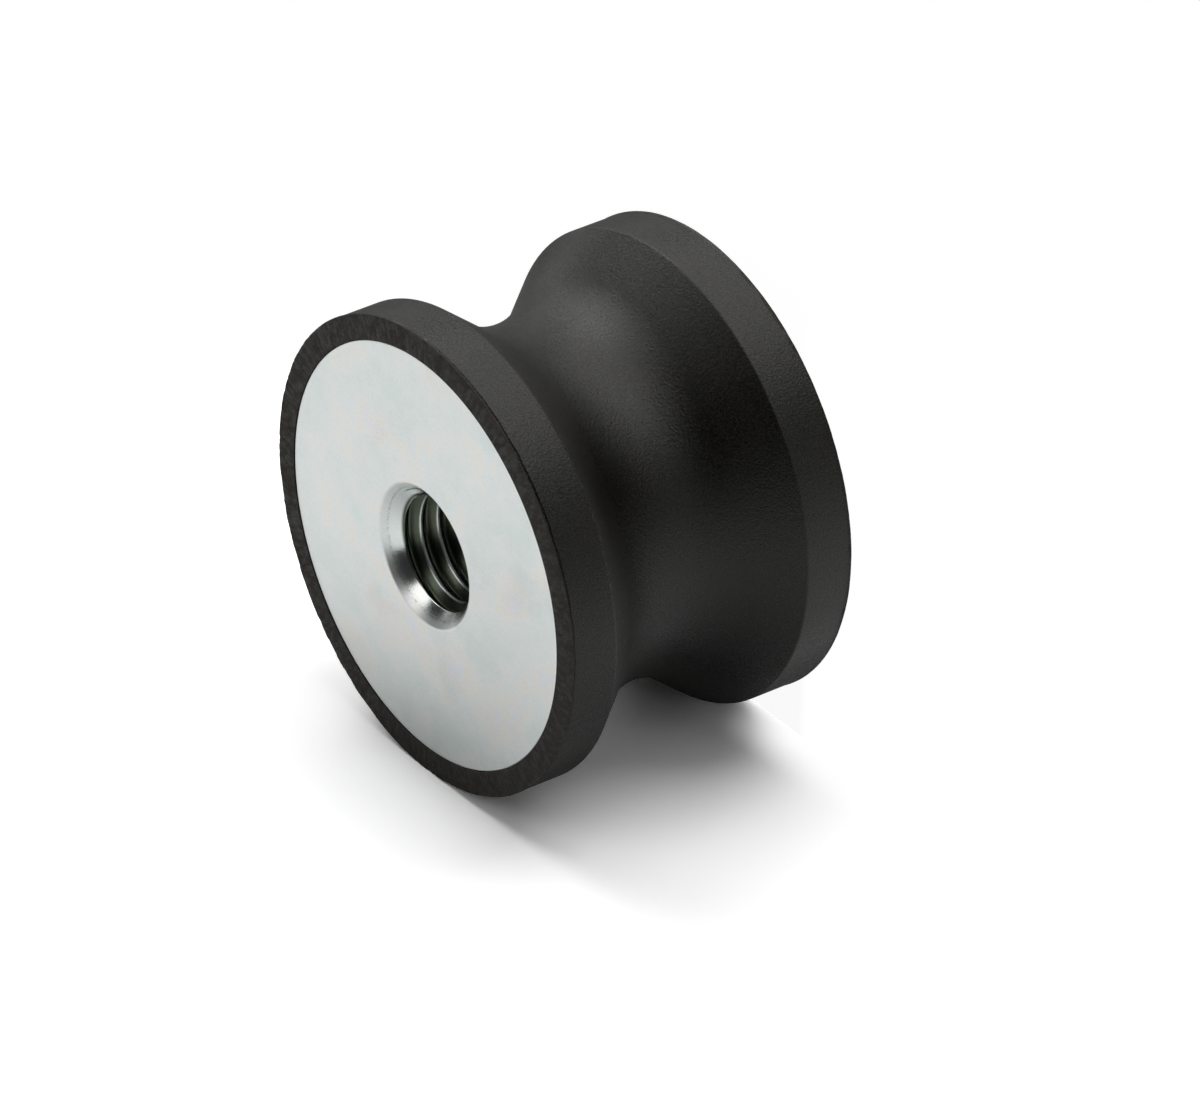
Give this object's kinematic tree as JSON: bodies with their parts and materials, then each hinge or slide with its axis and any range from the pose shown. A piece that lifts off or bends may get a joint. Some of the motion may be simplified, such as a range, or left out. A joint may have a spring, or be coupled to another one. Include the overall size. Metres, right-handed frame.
{
  "type": "bobbin vibration mount",
  "caption": "Waisted rubber spring with a zinc-plated steel plate and a countersunk, blind M8 tapped boss bonded into each end.",
  "frame": {"origin": "centre of the rubber end ring that the mount stands on", "axes": "+Z along the mount's axis, out of the upper insert's tapped hole; the mount is round about Z"},
  "size_m": [0.03, 0.03, 0.0203],
  "materials": {
    "rubber": "matte moulded natural rubber, black, fine grained",
    "zinc_plated_steel": "satin zinc plating, blue passivated"
  },
  "bodies": {
    "root": {"rubber_body": "rubber", "upper_insert": "zinc_plated_steel", "lower_insert": "zinc_plated_steel"}
  },
  "joints": []
}
